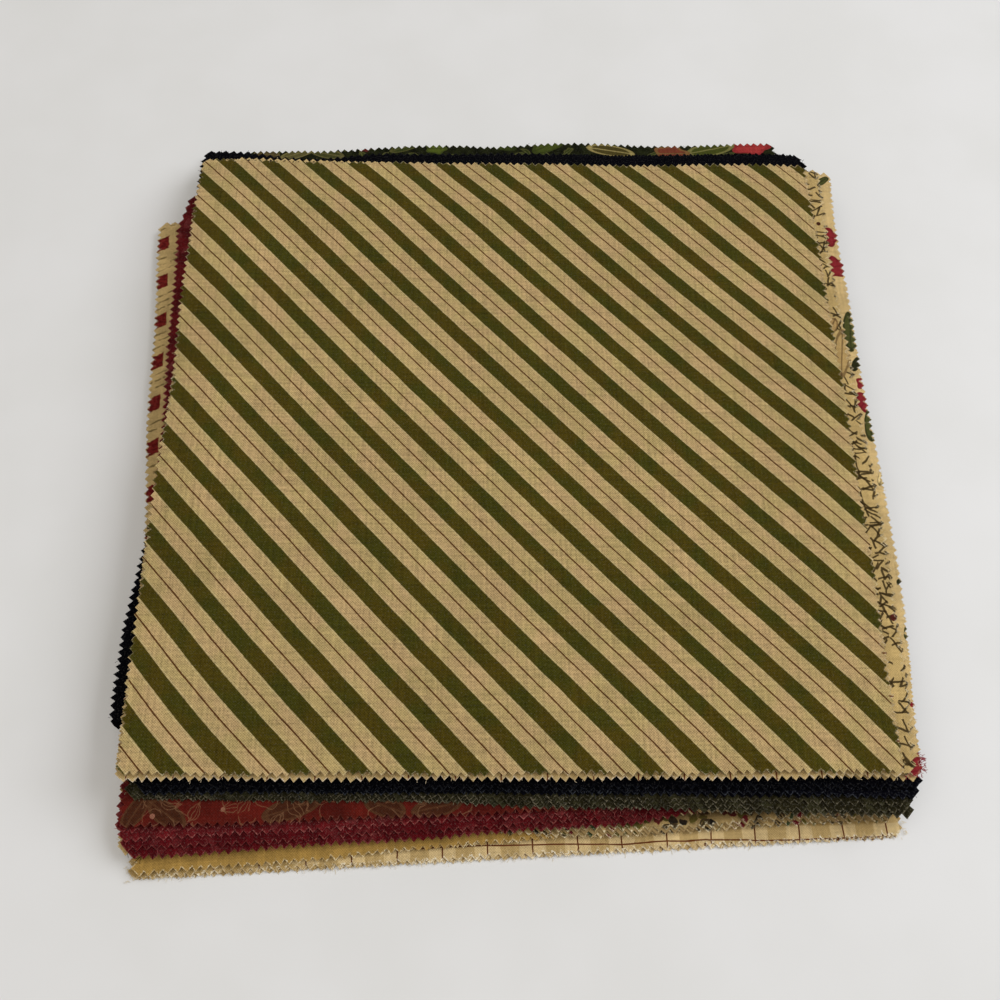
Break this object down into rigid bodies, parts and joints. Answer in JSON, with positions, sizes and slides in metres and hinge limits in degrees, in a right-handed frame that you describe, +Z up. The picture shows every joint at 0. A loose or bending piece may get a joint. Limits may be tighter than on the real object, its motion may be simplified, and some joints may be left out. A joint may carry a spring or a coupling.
{
  "type": "fabric square bundle",
  "caption": "Flat bundle of square cotton quilting cloths with pinked edges, lying slightly fanned on each other, a diagonal stripe on top.",
  "frame": {"origin": "middle of the bundle's footprint, on the surface that it lies on", "axes": "+Z up through the stack; +X to the right along the top square's front edge; +Y towards its back edge, where the lower squares stick out least and one dark square most"},
  "size_m": [0.2838, 0.3104, 0.022],
  "materials": {
    "cotton_stripe": "woven cotton, tan with diagonal green bands and a red-brown pinstripe",
    "cotton_windowpane": "woven cotton, cream with thin brown lines",
    "cotton_vine": "woven cotton, cream with brown twig line work",
    "cotton_cream_flower": "woven cotton, cream with red flowers and green leaves",
    "cotton_black": "woven cotton, plain black",
    "cotton_black_low": "woven cotton, plain black",
    "cotton_navy": "woven cotton, blue-black with small pale specks",
    "cotton_green": "woven cotton, dark green",
    "cotton_swirl": "woven cotton, red-brown with curling olive line work",
    "cotton_burgundy": "woven cotton, burgundy tone on tone",
    "cotton_wine": "woven cotton, dark burgundy",
    "cotton_dark_flower": "woven cotton, dark green with leaves and red flowers",
    "cotton_red_block": "woven cotton, cream with red blocks and green dashes",
    "cotton_mixed": "woven cotton, cream with green, red and black marks",
    "cotton_gold": "woven cotton, plain gold",
    "cotton_check": "woven cotton, tan check with thin brown lines"
  },
  "bodies": {
    "root": {"square_stripe": "cotton_stripe", "square_windowpane": "cotton_windowpane", "square_vine": "cotton_vine", "square_cream_flower": "cotton_cream_flower", "square_black": "cotton_black", "square_black_low": "cotton_black_low", "square_navy": "cotton_navy", "square_green": "cotton_green", "square_swirl": "cotton_swirl", "square_burgundy": "cotton_burgundy", "square_wine": "cotton_wine", "square_dark_flower": "cotton_dark_flower", "square_red_block": "cotton_red_block", "square_mixed": "cotton_mixed", "square_gold": "cotton_gold", "square_check": "cotton_check"}
  },
  "joints": []
}
